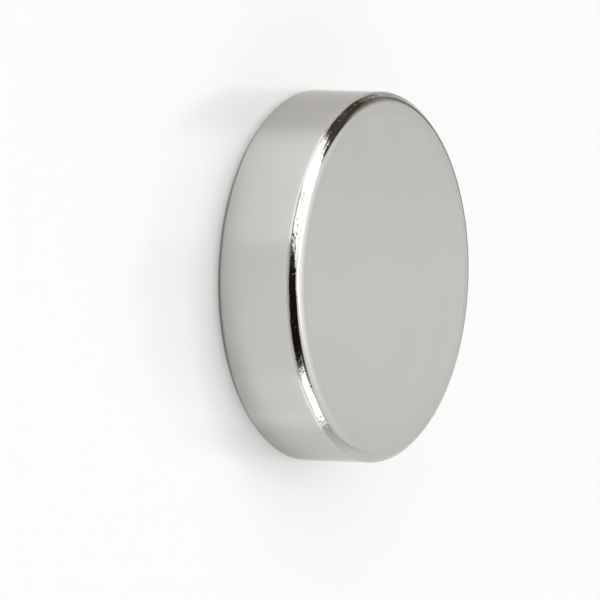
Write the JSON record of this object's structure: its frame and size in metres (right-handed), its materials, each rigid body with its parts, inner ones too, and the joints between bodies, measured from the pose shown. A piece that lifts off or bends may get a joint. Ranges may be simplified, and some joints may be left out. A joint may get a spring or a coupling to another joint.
{
  "type": "disc magnet",
  "caption": "Solid round disc magnet, magnetised through its thickness, with bright plating and tumbled edges. It holds paper or closes a lid.",
  "frame": {"origin": "centre of the lower pole face", "axes": "+Z along the disc's axis, which is also the direction of magnetisation, from the lower pole face to the upper"},
  "size_m": [0.02, 0.02, 0.005],
  "materials": {
    "nickel_plate": "bright nickel plate, mirror smooth, finely dimpled along the tumbled edges"
  },
  "bodies": {
    "root": {"disc_magnet": "nickel_plate"}
  },
  "joints": []
}
